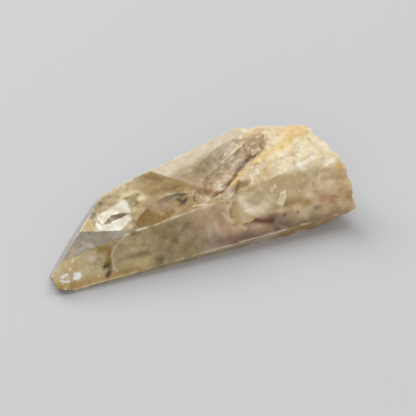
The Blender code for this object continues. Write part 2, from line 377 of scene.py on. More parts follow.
BROWN_PAINTED_SHADE = ((3.7, -2.3, 4.2), (5.3, -1.3, 4.4), (6.3, -1.7, 4.4))
AMBER_HOLLOW = ((-0.7, 0.4, 3.7), (0.9, -0.1, 3.2), (1.4, -1.6, 3.3))
WHITE_STREAK = ((-4.0, -3.0, 3.9), (-2.1, -3.6, 4.1))


def shuffled_place(cells, channel):
    """Three repeatable numbers from 0 to 1 for each cell, from three channels in a row."""
    return np.stack([shuffled(cells, channel + axis) for axis in range(3)], axis=-1)


def chiselled(place, grain, channel=0):
    """Flat little facets, as on sugary quartz, from 0 to about 1.

    Every cube one grain wide holds a seed with three random directions. A seed's pyramid at a point is the
    largest of |direction . (point - seed)|, and the height is the lowest pyramid of the 27 seeds around.
    """
    scaled = place / grain
    base = np.floor(scaled).astype(np.int64)
    lowest = np.full(place.shape[:-1], 9.0)
    for corner in np.ndindex(3, 3, 3):
        cell = base + np.array(corner) - 1
        away = scaled - (cell + shuffled_place(cell, channel))
        pyramid = np.zeros(place.shape[:-1])
        for side in range(3):
            tilt = shuffled_place(cell, channel + 3 + 3 * side) - 0.5
            tilt /= np.linalg.norm(tilt, axis=-1, keepdims=True) + 1e-6
            pyramid = np.maximum(pyramid, np.abs((away * tilt).sum(axis=-1)))
        lowest = np.minimum(lowest, pyramid)
    return lowest


def turned(turns):
    """Rows of a turn: a roll about X first, then a pitch about Y, then a heading about Z, in degrees."""
    cos_z, cos_y, cos_x = (math.cos(math.radians(turn)) for turn in turns)
    sin_z, sin_y, sin_x = (math.sin(math.radians(turn)) for turn in turns)
    about_z = [[cos_z, -sin_z, 0], [sin_z, cos_z, 0], [0, 0, 1]]
    about_y = [[cos_y, 0, sin_y], [0, 1, 0], [-sin_y, 0, cos_y]]
    about_x = [[1, 0, 0], [0, cos_x, -sin_x], [0, sin_x, cos_x]]
    return np.array(about_z) @ np.array(about_y) @ np.array(about_x)


def through_ellipsoid(start, way, form, relief=0.0, channel=0, grain=None, lump=False):
    """Where each ray enters and leaves an ellipsoid: the roots of |start + t way| = radius in its unit frame.

    The radius, 1 at first, swells by a relief in millimetres, read where the ray enters the even ellipsoid,
    or where it leaves a lump, and facets of the given grain may be chiselled into it.
    """
    centre, halves, turns = form
    unit = (turned(turns) / np.array(halves)).T
    origin = (start - np.array(centre)) @ unit.T
    along = way @ unit.T
    square, cross, size = (along * along).sum(-1), (origin * along).sum(-1), (origin**2).sum(-1)

    def crossings(radius):
        """Which rays meet the ellipsoid at this radius, and where they enter and leave it."""
        root = cross**2 - square * (size - radius**2)
        hits = root > 0
        half = np.sqrt(np.maximum(root, 0)) / square
        middle = -cross / square
        return hits, np.where(hits, middle - half, FAR), np.where(hits, middle + half, -FAR)

    hits, enter, leave = crossings(1)
    if relief:
        met = start[hits] + (leave if lump else enter)[hits][..., None] * way[hits]
        swell = np.zeros(square.shape)
        swell[hits] = relief * rough(met, 1.6 * min(halves), channel)
        if grain:
            swell[hits] += relief * (1.2 - 2.4 * chiselled(met, grain, channel))
        hits, enter, leave = crossings(1 + swell / min(halves))
    return enter, leave


def on_sparkling_top(place):
    """1 on the weathered part of the top face round the valley, 0 on the smooth part towards the tip."""
    across = place[..., 1] - 0.35 * place[..., 0]
    reach = place[..., 0] + 0.6 * wander(place, 2.0, 71)
    return ease(reach, 0.5, 4.5) * (1 - ease(reach, 9.5, 11.5)) * (1 - ease(across, 4.5, 6.5))


def top_relief(place):
    """Growth relief, with the weathered part chiselled into sugary steps."""
    steps = 0.34 * chiselled(place, 1.5, 90) + 0.12 * chiselled(place, 0.6, 91)
    return grown(place) - on_sparkling_top(place) * steps


def paint_valley(coat):
    """Pinkish grey banks and a sparkling top beside them, with pale and brown flecks of three sizes and
    painted shade low on the banks.
    """
    place, valley, top_face = coat.place, coat.on(*VALLEY_PARTS), coat.on(TOP)
    fleck, fine, tiny = rough(place, 1.2, 230), rough(place, 0.55, 234, 2), rough(place, 0.36, 236, 2)
    banks = (valley + top_face * (1 - ease(coat.x, 9.5, 11.5))) * coat.near(GROOVE, 5.2, 1.0)
    sugary = np.maximum(banks, top_face * on_sparkling_top(place))
    coat.wash(sugary, "dcc7a4", 0.85, milk=0.97, matt=0.34)
    coat.washes(
        sugary,
        (ease(fleck, 0.05, 0.4), "e9dcc6", 0.8),
        (ease(fine, 0.25, 0.5), "f8f1e4", 0.8),
        (ease(-fleck, 0.15, 0.5), "a0815a", 0.8),
        (ease(-fine, 0.3, 0.6), "86683f", 0.7),
        (ease(tiny, 0.2, 0.5), "fff8ea", 0.5),
        (ease(-tiny, 0.2, 0.5), "9c7d52", 0.5),
    )
    # Painted shade: the valley's bank darkened low down, near the groove.
    coat.wash(valley * coat.near(BANK_PAINTED_SHADE, 1.9, 0.5), "a88e6c", 0.6)


def paint_groove(coat):
    """The amber hollow, the painted brown shade beside it, the dark line along the bottom, partly painted
    shade, and a white streak.
    """
    walls = coat.on(TOP, CREST, SPALL_FLOOR, LEDGE_WALL, *VALLEY_PARTS)
    coat.wash(walls * coat.near(AMBER_HOLLOW, 1.3, 0.3), "8f6222", 0.9, matt=0.12)
    # Painted shade: brown darkening in the hollow by the ledge wall.
    coat.wash(coat.near(BROWN_PAINTED_SHADE, 1.3, 0.3), "7d5a30", 0.8)
    # The dark line along the groove's bottom: brown, and darkened further by painted shade in the crevice
    # under the flake.
    coat.wash(walls * coat.near(GROOVE, 1.05, 0.35), "65400f", 0.95, matt=0.45)
    coat.wash(coat.near(WHITE_STREAK, 0.3, 0.3, 0.5), "efe6d0", 0.75, milk=1.0)


# The smooth scoop and the chips
# A glassy golden-brown hollow, knocked out of the top and the front arris long ago, with a painted highlight
# along its upper rim, and five small chips off the arrises. They have no relief of their own and crisp rims.
SMOOTH_SCOOP = ((-9.7, -1.2, 5.1), (9.4, 3.9, 2.2), (17, -7, 4))
ARRIS_CHIPS = (
    ((-4.0, -4.6, 4.2), (1.6, 0.8, 0.7), (-4, -6, 30)),
    ((-10.5, -4.1, 3.4), (1.2, 0.6, 0.6), (-4, -6, 30)),
    ((-6.0, 13.2, -0.8), (1.9, 1.0, 1.2), (8, -8, 0)),
    ((3.0, 12.3, -5.0), (2.0, 0.9, 0.9), (6, 0, 0)),
    ((-22.5, 8.6, -2.5), (1.2, 1.0, 1.2), (30, 10, 0)),
)
GLASSY_FINISH = (0.0, None, 0.01)
SCOOP = 40
SCOOP_RIM_HIGHLIGHT = ((-15.5, -2.6, 3.1), (-13.0, -0.2, 3.6), (-10.0, 1.6, 3.9), (-7.1, 1.9, 4.1), (-3.9, 0.8, 4.3))
FRONT_ARRIS = ((-14.84, -3.49, 2.58), (-5.0, -4.1, 3.8), (-1.0, -4.3, 4.3))


def paint_scoop(coat):
    """Golden brown, with painted shade at its far end, a painted highlight along the upper rim and pale
    bruises in front.
    """
    scoop, place = coat.on(SCOOP), coat.place
    coat.wash(scoop, "886a30", milk=0.97, matt=0.45)
    # Painted shade: the scoop's far end darkened.
    coat.wash(scoop * ease(coat.x + 0.4 * coat.y, -8.5, -5.0), "351f05", 0.97, milk=1.0, matt=0.52)
    coat.wash(scoop * ease(rough(place, 1.6, 212), 0.0, 0.5), "c4a869", 0.5)
    # A painted highlight: a pale line along the scoop's upper rim.
    coat.wash(coat.near(SCOOP_RIM_HIGHLIGHT, 0.42, 0.15), "efe4c8", 0.85, milk=0.85)
    bruise = coat.near(FRONT_ARRIS, 0.45, 0.25) * ease(wander(place, 0.9, 250), -0.25, 0.3)
    coat.wash(bruise, "efe6d4", 0.9, milk=0.95, matt=0.2)


# The broken root
# Granular milky quartz where the crystal broke off: rough on top and made bright there with painted light,
# tan and blocky in front. A flat facet spalled off the front and left a ledge over the valley, and a yellow
# iron stain runs along it.
ROOT_END = (173.5, -83.1, 22.34)
ROOT_TOP = (85.5, -1.7, 7.06)
BACK_BREAK = (141.3, -17.5, 15.18)
UNDER_BREAK = (-86.4, -28.6, 12.62)
SPALL = (72.3, 10.2, 3.535)
SPALL_FOOT = (49.5, 8.6, 3.85)
LEDGE_HEADING, LEDGE_DISTANCE, LEDGE_SLOPE, LEDGE_HEIGHT = -39.9, 4.226, 14.0, 5.2
LEDGE_CREST = ((11.2, 3.4, 5.2), (5.2, 1.1, 1.0), (24, -7, 0))
KNOB = ((21.6, -7.0, 0.4), (2.1, 2.3, 2.6), (10, 0, 0))
ROOT_SCOOPS = (
    ((30.5, 1.0, 0.5), (9.0, 6.6, 4.6), (8, 20, 0)),
    ((28.2, 9.0, 7.5), (7.2, 7.6, 5.8), (-30, 35, 0)),
    ((16.5, 20.0, 2.0), (8.2, 6.6, 4.8), (-25, 5, 0)),
    ((25.0, -9.2, 6.2), (4.4, 3.0, 3.0), (15, 30, 0)),
)
ROOT_FINISH = (0.6, 2.4, 0.01)
# The lower edge of the break on the front face, as x and z.
ROOT_FRONT_X = (-2, 1.5, 3.1, 5.0, 6.9, 10.5, 13.6, 17.3, 20, 24)
ROOT_FRONT_Z = (4.6, 3.9, 2.8, 1.8, 0.7, 0.2, 0.1, 0.35, -0.3, -1.0)
KNOB_PART, CREST = 14, 15
END_BREAK, TOP_ROOT, BACK_ROOT, UNDER_ROOT = range(20, 24)
SPALL_FLOOR, LEDGE_WALL, SPALL_TOE = 30, 31, 32
ROOT_HOLLOWS = (43, 44, 45, 46)
ROOT_PARTS = (
    KNOB_PART, CREST, END_BREAK, TOP_ROOT, BACK_ROOT, UNDER_ROOT, SPALL_FLOOR, LEDGE_WALL, SPALL_TOE,
    *ROOT_HOLLOWS,
)
LEDGE_STAIN = (
    (20.0, 4.9, 6.9), (17.6, 4.0, 6.8), (15.2, 2.8, 6.4), (13.3, 2.5, 6.1), (11.2, 2.1, 5.9), (8.9, 2.2, 5.7),
    (6.7, 1.4, 5.4), (4.6, -0.6, 5.0),
)
ORANGE_TOP = ((17.7, 5.7, 6.7), (18.9, 5.4, 7.0), (20.1, 5.2, 7.0))
ORANGE_PATCH = ((10.8, 8.0, 6.1), (12.3, 7.9, 6.3), (13.4, 7.0, 6.4))
PAINTED_HIGHLIGHT_SPOTS = ((17.0, -2.8, 6.1), (18.8, -2.2, 6.5), (21.5, -4.1, 6.3), (16.1, -2.7, 5.9))
KNOB_PAINTED_SHADE = ((18.3, -6.9, 1.0), (19.7, -7.2, 1.0), (21.1, -7.6, 1.1), (22.1, -8.2, 1.1))
LOW_OCHRE = ((11.6, -5.9, 1.3), (14.1, -6.3, 1.3), (15.9, -7.2, 0.5))
OLIVE_SPOT = ((16.6, -8.0, 0.3), (17.4, -7.7, 0.1))
IRON_DOTS = ((10.9, -7.5, 0.2), (13.3, -7.7, 0.0))
PALE_PATCH = ((4.4, -3.5, 3.2), (5.4, -5.2, 1.3), (7.6, -5.5, 1.0), (9.4, -4.6, 2.4))
PATCH_EDGE = ((3.7, -4.4, 1.7), (5.2, -4.9, 1.1), (6.8, -5.4, 0.7), (8.0, -5.8, 1.0), (9.3, -6.5, 0.5))
BLADE = ((10.8, -3.8, 3.9), (9.6, -4.3, 2.7), (8.9, -4.7, 1.7))
YELLOW_SPOT = ((22.3, -5.0, 5.4), (22.9, -5.2, 5.4))


def on_root_front(place):
    """1 on the broken upper part of the front face, 0 on the whole face below its edge."""
    edge = np.interp(place[..., 0], ROOT_FRONT_X, ROOT_FRONT_Z) + 0.15 * wander(place, 1.3, 70)
    height = place[..., 2] - edge
    return (0.12 * ease(height, -0.1, 0.2) + 0.88 * ease(height, 0.0, 2.6)) * ease(place[..., 0], 1.0, 3.0)


def front_relief(place):
    """Growth relief, with the root's part broken back in lumps and little facets."""
    lumps = 0.30 * (1 + rough(place, 3.4, 95, 2))
    lumps = lumps + 0.95 * chiselled(place, 2.7, 96) + 0.30 * chiselled(place, 1.0, 97)
    lean = 0.05 * np.clip(place[..., 2] + 0.5, 0, 6)
    calm = 1 - 0.85 * ease(place[..., 0] - 0.5 * place[..., 2], 17.0, 19.5)
    return grown(place) - on_root_front(place) * calm * (lumps + lean)


def broken(channel):
    """The relief of a rough break: rounded lumps with chiselled facets of two sizes on them."""
    def relief(place):
        facets = 0.85 * chiselled(place, 2.6, channel) + 0.30 * chiselled(place, 1.0, channel + 1)
        return 0.45 - facets + 0.35 * rough(place, 3.6, channel + 2, 2)
    return relief


def spalled(place):
    """The relief of the spalled root: broad flat facets, nearly smooth, with small steps between them."""
    facets = 0.25 - 0.75 * chiselled(place, 4.2, 101) - 0.16 * chiselled(place, 1.3, 105)
    return facets - 0.08 * rough(place, 1.8, 99, 3)


def upright(spot):
    """A route 0.1 mm long, straight up from a spot."""
    return spot, spot[:2] + (spot[2] + 0.1,)


def paint_root(coat):
    """Cream and tan by lump, lighter higher up as painted light, then stains, painted highlights and shade,
    pale edges.
    """
    place, x, z = coat.place, coat.x, coat.z
    front_break = coat.front * ease(on_root_front(place), 0.1, 0.3)
    root = np.maximum(coat.on(*ROOT_PARTS), front_break)
    root = np.maximum(root, coat.on(TOP) * ease(x + 0.5 * wander(place, 1.5, 239), 10.5, 11.5))
    lump, fine = rough(place, 2.0, 241), rough(place, 0.7, 243, 2)
    coat.wash(root, "cfbb90", milk=1.0, matt=0.42)
    # The first layer makes the root lighter higher up: painted light on its top.
    coat.washes(
        root,
        (ease(z + 0.5 * wander(place, 1.8, 240), 4.6, 6.2) * ease(x, 9, 13), "eadcba", 0.85),
        (ease(lump, 0.1, 0.5), "efdcb4", 0.7),
        (ease(-lump, 0.1, 0.55), "cfae7c", 0.7),
        (ease(fine, 0.2, 0.6), "faf3e0", 0.6),
        (ease(-fine, 0.25, 0.6), "bd9966", 0.6),
    )
    toe = coat.on(SPALL_TOE)
    coat.wash(front_break, "dfc9a2", 0.6)
    coat.wash(toe, "bba47c", 0.65, matt=0.25)
    # Painted light: a bright band on the upper part of the broken front.
    coat.wash((front_break + toe) * ease(z, 5.0, 5.6) * ease(x, 11, 14), "f3e6c6", 0.85)
    coat.wash(front_break * ease(-z, -2.0, -0.2), "c09a68", 0.6)
    # Painted highlights: near-white spots on the root's top.
    for spot in PAINTED_HIGHLIGHT_SPOTS:
        coat.wash(root * coat.near(upright(spot), 0.9, 0.3), "fffdf4", 0.9)
    waver = 0.5 * wander(place, 1.6, 244)
    from_above = [stop[:2] for stop in LEDGE_STAIN]
    stain = near(place[..., :2], from_above, 1.7 + waver) * ease(lump, -0.9, 0.2)
    coat.wash(stain * ease(z, 2.9, 3.8), "e6c36e", 0.8)
    coat.wash(coat.near(ORANGE_TOP, 2.4, 0.5), "ecc98c", 0.75)
    coat.wash(coat.near(ORANGE_PATCH, 0.8, 0.3), "c08e4a", 0.7)
    coat.wash(root * coat.near(LOW_OCHRE, 1.4, 0.4), "92692f", 0.85)
    # Painted shade: brown darkening beside the knob, where the front turns under.
    coat.wash(coat.near(KNOB_PAINTED_SHADE, 2.6, 0.5), "b3875a", 0.7)
    coat.wash(coat.near(KNOB_PAINTED_SHADE, 1.3, 0.4), "9c662c", 0.9)
    coat.wash(coat.near(OLIVE_SPOT, 0.8, 0.2), "5f4519", 0.9)
    for spot in IRON_DOTS:
        coat.wash(coat.near(upright(spot), 0.42), "5f2f14", 0.95)
    coat.wash(root * coat.near(PALE_PATCH, 1.3, 0.3), "efe2ca", 0.85)
    coat.wash(coat.near(PATCH_EDGE, 0.34), "fbf3e0", 0.85)
    coat.wash(root * coat.near(BLADE, 0.4), "f9f0dc", 0.9)
    coat.wash(coat.near(YELLOW_SPOT, 1.0, 0.2), "edc470", 0.7)
    underside = coat.on(LOW_FRONT, RESTING, UNDER_ROOT) * ease(x, 7, 11)
    coat.wash(underside * ease(rough(place, 2.4, 246), -0.5, 0.3), "a97f33", 0.85, milk=0.96)


# Rust and worn edges
# Rust seeped into the cracks by the tip's fracture, by the growth line and at the scoop's foot, and the worn
# arrises carry a thin pale line, part wear and part painted highlight. Each stain is a route and its width.
RUST_STAINS = (
    (((-18.2, -2.4, 2.9), (-16.6, -2.6, 2.9), (-15.0, -1.9, 3.1)), 0.5),
    (((-2.0, 0.9, 4.3), (-1.2, 1.0, 4.4)), 0.45),
    (((-3.5, -2.3, 3.9), (-2.0, -3.0, 3.9)), 0.3),
    (((-20.0, -4.2, 0.2), (-19.9, -4.3, 0.1)), 0.3),
)
ARRIS_WIDTH = 0.30


def paint_rust(coat):
    """Small red-orange streaks along each stain's route."""
    for number, (route, width) in enumerate(RUST_STAINS):
        coat.wash(coat.near(route, width, 0.2, 0.8, 260 + number), "b34a1e", 0.85, milk=0.9)


def paint_arris_highlights(coat):
    """A thin pale line, broken here and there, along every arris between two whole faces: part wear, part
    painted highlight.

    The distance to an arris is the second smallest of the depths under the faces' planes.
    """
    faces = (*PRISM_FACES, RESTING_FACE, TIP_FACE)
    depths = [distance - coat.place @ face_normal(around, lean) for around, lean, distance in faces]
    depth = np.sort(depths, axis=0)[1]
    edge = 1 - ease(depth + 0.12 * wander(coat.place, 0.9, 281), 0.06, ARRIS_WIDTH)
    edge = edge * ease(wander(coat.place, 1.4, 282), -0.6, 0.2) * coat.on(*range(LOW_FRONT, END_FACE + 1))
    # Part wear and part painted highlight along the arrises.
    coat.wash(edge, "f6ecd2", 0.65, milk=0.85, matt=0.25)


# The skin of the whole crystal
# The faces, breaks, lumps and scoops above grew or broke into one piece, so one closed skin carries them all.
# Rays run out to it from a flat ribbon inside the crystal, and its grid is drawn on to the arrises.
ROWS, COLUMNS = 330, 300
SPINE_START, SPINE_END = np.array([-25.2, -1.6, -1.8]), np.array([13.0, 2.4, 0.4])
RIBBON_START, RIBBON_END = 1.6, 5.0
TIP_SHARE, ROOT_SHARE = 0.11, 0.27
# The shares of a turn at the ribbon's corners, with each corner's ray angle and side of the ribbon.
RIBBON_CORNERS = (0, 0.22, 0.5, 0.72, 1)
CORNER_ANGLES, CORNER_SIDES = (90, 90, 270, 270, 450), (1, -1, -1, 1, 1)
LUMP_RELIEF, LUMP_BURIED, FARTHEST = 0.12, 1.0, 60
# The first noise channels of the lumps, scoops and breaks, and the step from break to break.
LUMP_NOISE, SCOOP_NOISE, BREAK_NOISE, BREAK_NOISE_STEP = 40, 50, 7, 5
SHARP_ANGLE = math.radians(22)


def rays(along, around):
    """Where each ray starts and which way it runs.

    The starts lie on a flat ribbon inside the crystal. Along the ribbon the rays stand across it: up over its
    flat, down under it and fanning round its two edges. Past its ends they fan over to the axis, to close tip
    and root.
    """
    to_tip = np.clip(along / TIP_SHARE, 0, 1) - 1
    to_root = np.clip((along - 1 + ROOT_SHARE) / ROOT_SHARE, 0, 1)
    pitch = math.pi / 2 * (to_tip + to_root)
    share = np.clip((along - TIP_SHARE) / (1 - TIP_SHARE - ROOT_SHARE), 0, 1)
    angle = np.radians(np.interp(around % 1, RIBBON_CORNERS, CORNER_ANGLES))
    aside = np.interp(around % 1, RIBBON_CORNERS, CORNER_SIDES)
    start = SPINE_START + share[..., None] * (SPINE_END - SPINE_START)
    ribbon = (RIBBON_START + share * (RIBBON_END - RIBBON_START)) * np.cos(pitch)
    start = start + (aside * ribbon)[..., None] * np.array([0, 1, 0])
    across = np.stack([np.zeros_like(angle), np.cos(angle), np.sin(angle)], axis=-1)
    way = np.cos(pitch)[..., None] * across + np.sin(pitch)[..., None] * np.array([1, 0, 0])
    return start, way


def skin(along, around):
    """The crystal's surface: each ray's end, and which face, break, lump or scoop it lies on.

    A convex body is the nearest of its planes, a lump is where the ray leaves it if that is further, the
    spall takes off what is beyond both its planes, and a scoop takes a ray back to where it enters the
    ellipsoid. Where the two differ by less than the scoop's soft width, its rim is worn down by (soft -
    difference) squared / (4 soft).
    """
    start, way = rays(along, around)
    reach, kind = np.full(along.shape, FAR), np.zeros(along.shape, int)

    def cut(candidate, number):
        """Ends each ray on a new surface where that is nearer, and notes its number there."""
        nonlocal reach, kind
        kind = np.where(candidate < reach, number, kind)
        reach = np.minimum(reach, candidate)

    faces = [*PRISM_FACES, RESTING_FACE, TIP_FACE, *WORN_ARRISES, *TIP_CHIPS]
    breaks = [ROOT_END, ROOT_TOP, BACK_BREAK, UNDER_BREAK]
    limit = np.minimum.reduce([to_face(start, way, face) for face in faces + breaks])
    reliefs = (grown, front_relief, top_relief, grown, grown, None, grown, grown, grown, grown, grown)
    for number, (face, relief) in enumerate(zip(faces, reliefs), LOW_FRONT):
        cut(to_face(start, way, face, relief, limit), number)
    for number, lump in enumerate((KNOB, LEDGE_CREST)):
        enter, leave = through_ellipsoid(start, way, lump, LUMP_RELIEF, LUMP_NOISE + number, lump=True)
        further = (leave > reach) & (enter < reach + LUMP_BURIED)
        kind = np.where(further, KNOB_PART + number, kind)
        reach = np.where(further, leave, reach)
    for number, face in enumerate(breaks):
        relief = broken(BREAK_NOISE + BREAK_NOISE_STEP * number)
        cut(to_face(start, way, face, relief, limit), END_BREAK + number)

    heading, slope = math.radians(LEDGE_HEADING), math.radians(LEDGE_SLOPE)
    level = math.cos(slope)
    wall = np.array([math.cos(heading) * level, math.sin(heading) * level, math.sin(slope)])
    foot = LEDGE_DISTANCE + LEDGE_HEIGHT * math.sin(slope)
    floor_reach = to_face(start, way, SPALL, spalled, reach)
    met = start + np.minimum(floor_reach, FARTHEST)[..., None] * way
    wavy = foot + 0.55 * wander(met, 2.1, 33) + 0.2 * wander(met, 0.8, 34)
    wall_reach = to_plane(start, way, wall, wavy)
    cut(np.maximum(floor_reach, wall_reach), SPALL_FLOOR)
    cut(np.maximum(to_face(start, way, SPALL_FOOT, spalled, reach), wall_reach), SPALL_TOE)
    kind = np.where((kind == SPALL_FLOOR) & (wall_reach > floor_reach), LEDGE_WALL, kind)

    scoops = [SMOOTH_SCOOP, VALLEY, VALLEY_MOUTH, *ROOT_SCOOPS, *ARRIS_CHIPS, VALLEY_BANK]
    finishes = [GLASSY_FINISH, VALLEY_FINISH, MOUTH_FINISH]
    finishes += [ROOT_FINISH] * len(ROOT_SCOOPS) + [GLASSY_FINISH] * len(ARRIS_CHIPS) + [BANK_FINISH]
    for number, (form, (relief, grain, soft)) in enumerate(zip(scoops, finishes)):
        enter, leave = through_ellipsoid(start, way, form, relief, SCOOP_NOISE + number, grain)
        worn = np.clip(soft - np.abs(enter - reach), 0, None) ** 2 / (4 * soft)
        hollow = (leave > reach) & (enter > 0)
        kind = np.where(hollow & (enter < reach), SCOOP + number, kind)
        reach = np.where(hollow, np.minimum(reach, enter) - worn, reach)
    return start + reach[..., None] * way, kind


def snap(along, around, kinds):
    """Moves grid places on to the nearest arris. Towards each neighbour that ends on another face, the change
    of face is found by halving the way seven times, and the place moves there if that is less than half the
    way."""
    shares = np.full(along.shape, 0.5)
    moved_along, moved_around = along.copy(), around.copy()
    for rows, columns in ((1, 0), (-1, 0), (0, 1), (0, -1)):
        other = np.roll(kinds, (-rows, -columns), axis=(0, 1))
        differs = other != kinds
        if rows:
            differs[-1 if rows > 0 else 0] = False
        here_along, here_around, here_kind = along[differs], around[differs], kinds[differs]
        low, high = np.zeros(here_along.shape), np.ones(here_along.shape)
        for _ in range(7):
            middle = (low + high) / 2
            found = skin(here_along + middle * rows / ROWS, here_around + middle * columns / COLUMNS)[1]
            same = found == here_kind
            low, high = np.where(same, middle, low), np.where(same, high, middle)
        better = low < shares[differs]
        target_along, target_around = moved_along[differs], moved_around[differs]
        target_along[better] = (here_along + low * rows / ROWS)[better]
        target_around[better] = (here_around + low * columns / COLUMNS)[better]
        moved_along[differs], moved_around[differs] = target_along, target_around
        shares[differs] = np.minimum(shares[differs], low)
    return moved_along, moved_around


def shell_triangles(rows, columns, by_first=True):
    """Two triangles for each cell of a grid that closes round its columns, with a fan to a pole at each end.
    The poles are the two points after the grid's, and by_first says which diagonal cuts a cell."""
    index = np.arange(rows * columns).reshape(rows, columns)
    after = np.roll(index, -1, axis=1)
    a, b, c, d = (corner.ravel() for corner in (index[:-1], after[:-1], after[1:], index[1:]))
    by_first = np.broadcast_to(by_first, a.shape)[:, None]
    one = np.where(by_first, np.stack([a, b, c], -1), np.stack([a, b, d], -1))
    two = np.where(by_first, np.stack([a, c, d], -1), np.stack([b, c, d], -1))
    first_pole, last_pole = rows * columns, rows * columns + 1
    start_fan = np.stack([np.full(columns, first_pole), after[0], index[0]], -1)
    end_fan = np.stack([np.full(columns, last_pole), index[-1], after[-1]], -1)
    return np.concatenate([one, two, start_fan, end_fan])


def better_diagonals(points, along, around):
    """True for each cell whose first diagonal has its middle nearer to the true surface than the second's."""
    turn = (np.roll(around, -1, axis=1) - around) % 1
    centre_around = around + turn / 2
    middle = skin((along[:-1] + along[1:]) / 2, (centre_around[:-1] + centre_around[1:]) / 2)[0]
    after = np.roll(points, -1, axis=1)
    first = np.linalg.norm((points[:-1] + after[1:]) / 2 - middle, axis=-1)
    second = np.linalg.norm((after[:-1] + points[1:]) / 2 - middle, axis=-1)
    return (first < second).ravel()


def mesh_object(name, places, triangles):
    """An object from points in metres and triangles, turned so that its faces point outwards by its signed
    volume."""
    corners = places[triangles]
    volume = np.einsum("ij,ij->i", corners[:, 0], np.cross(corners[:, 1], corners[:, 2])).sum()
    if volume < 0:
        triangles = triangles[:, ::-1]
    mesh = bpy.data.meshes.new(name)
    mesh.vertices.add(len(places))
    mesh.loops.add(triangles.size)
    mesh.polygons.add(len(triangles))
    mesh.vertices.foreach_set("co", places.astype(np.float32).ravel())
    mesh.loops.foreach_set("vertex_index", triangles.astype(np.int32).ravel())
    mesh.polygons.foreach_set("loop_start", np.arange(0, triangles.size, 3, dtype=np.int32))
    mesh.polygons.foreach_set("use_smooth", np.ones(len(triangles), bool))
    mesh.update(calc_edges=True)
    mesh.validate()
    thing = bpy.data.objects.new(name, mesh)
    bpy.context.scene.collection.objects.link(thing)
    return thing


along_line, around_line = np.arange(1, ROWS) / ROWS, np.arange(COLUMNS) / COLUMNS
along, around = np.meshgrid(along_line, around_line, indexing="ij")
along, around = snap(along, around, skin(along, around)[1])
points, kinds = skin(along, around)
poles = skin(np.array([0.0, 1.0]), np.array([0.0, 0.0]))[0]
surface = np.concatenate([points.reshape(-1, 3), poles])
triangles = shell_triangles(*points.shape[:2], better_diagonals(points, along, around))
crystal = mesh_object("crystal_body", (surface + AXIS) * MM, triangles)
crystal.data.set_sharp_from_angle(angle=SHARP_ANGLE)

coat = Coat(surface, np.concatenate([kinds.ravel(), [END_FACE, END_BREAK]]), "d0ba8a", 0.68, 0.09)
coat.top, coat.front = coat.on(TOP, *VALLEY_PARTS), coat.on(FRONT)
for paint in (
    paint_clear, paint_milky, paint_arris_highlights, paint_scoop, paint_valley, paint_root, paint_groove, paint_rust,
):
    paint(coat)


def give_attributes(thing, coat):
    """Writes the painted values to the mesh: a colour and two numbers for each vertex."""
    count = len(thing.data.vertices)
    tone = thing.data.attributes.new("tone", "FLOAT_COLOR", "POINT")
    tone.data.foreach_set("color", np.column_stack([coat.colour, np.ones(count)]).astype(np.float32).ravel())
    for name, values in (("milk", coat.milk), ("matt", coat.matt)):
        numbers = np.clip(values, 0.02, 1).astype(np.float32)
        thing.data.attributes.new(name, "FLOAT", "POINT").data.foreach_set("value", numbers)


give_attributes(crystal, coat)

# The quartz itself
# Natural quartz: a clear golden one that takes up light in its depth, under more or less of a milky one that
# scatters it. The painted milkiness says how much of each, and small painted glints and dark grains lie in
# the rough parts.
QUARTZ_IOR = 1.544
MILKY_SPECULAR, MILKY_SCATTER, SCATTER_SCALE = 0.26, 0.35, 0.0022
SCATTER_RADIUS = (1.0, 0.62, 0.30)
CLEAR_TINT, GOLD_DEPTH, GOLD_DENSITY = (1.0, 0.98, 0.93, 1.0), (0.97, 0.79, 0.40, 1.0), 34.0
MOTTLE_SCALE, SPECK_SCALE, GRAIN_SCALE, CLOUD_SCALE, CELL_SCALE = 800.0, 3000.0, 2100.0, 330.0, 2300.0
GRAIN_STRENGTH, GRAIN_HEIGHT = 0.45, 0.00025
WARM_MOTTLE, PALE_CLOUD, DARK_SPECK = (0.62, 0.44, 0.22), (0.95, 0.88, 0.74), (0.25, 0.14, 0.06)
PAINTED_GLINT_TONE, BROWN_GRAIN = (1.0, 0.96, 0.86), (0.45, 0.31, 0.16)


class Wire:
    """A socket of a material, on which + - and * add Math nodes."""

    def __init__(self, tree, socket):
        self.tree, self.socket = tree, socket

    def maths(self, operation, *values):
        """A Math node on these values."""
        return node(self.tree, "ShaderNodeMath", {"operation": operation}, *values)

    def __add__(self, other):
        return self.maths("ADD", self, other)

    __radd__ = __add__

    def __sub__(self, other):
        return self.maths("SUBTRACT", self, other)

    def __rsub__(self, other):
        return self.maths("SUBTRACT", other, self)

    def __mul__(self, other):
        return self.maths("MULTIPLY", self, other)

    __rmul__ = __mul__

    def limited(self):
        """The value kept from 0 to 1."""
        return self.maths("MINIMUM", self.maths("MAXIMUM", self, 0.0), 1.0)


def node(tree, kind, settings=None, *values, output=0, **named):
    """Adds a node: its settings first, then the values or links of its sockets by place or by name."""
    made = tree.nodes.new(kind)
    for name, value in (settings or {}).items():
        setattr(made, name, value)
    for key, value in [*enumerate(values), *named.items()]:
        socket = made.inputs[key if isinstance(key, int) else key.replace("_", " ")]
        if isinstance(value, Wire):
            tree.links.new(value.socket, socket)
        elif value is not None:
            socket.default_value = value
    return Wire(tree, made.outputs[output])


def blended(tree, factor, first, second, how="MIX"):
    """Mixes two colours."""
    made = tree.nodes.new("ShaderNodeMix")
    made.data_type, made.blend_type, made.clamp_factor = "RGBA", how, True
    for number, value in ((0, factor), (6, first), (7, second)):
        if isinstance(value, Wire):
            tree.links.new(value.socket, made.inputs[number])
        else:
            made.inputs[number].default_value = value if number == 0 else (*value, 1.0)
    return Wire(tree, made.outputs[2])


def new_material(name):
    """An empty node tree and its output node."""
    material = bpy.data.materials.new(name)
    material.use_nodes = True
    tree = material.node_tree
    tree.nodes.clear()
    return material, tree, tree.nodes.new("ShaderNodeOutputMaterial")


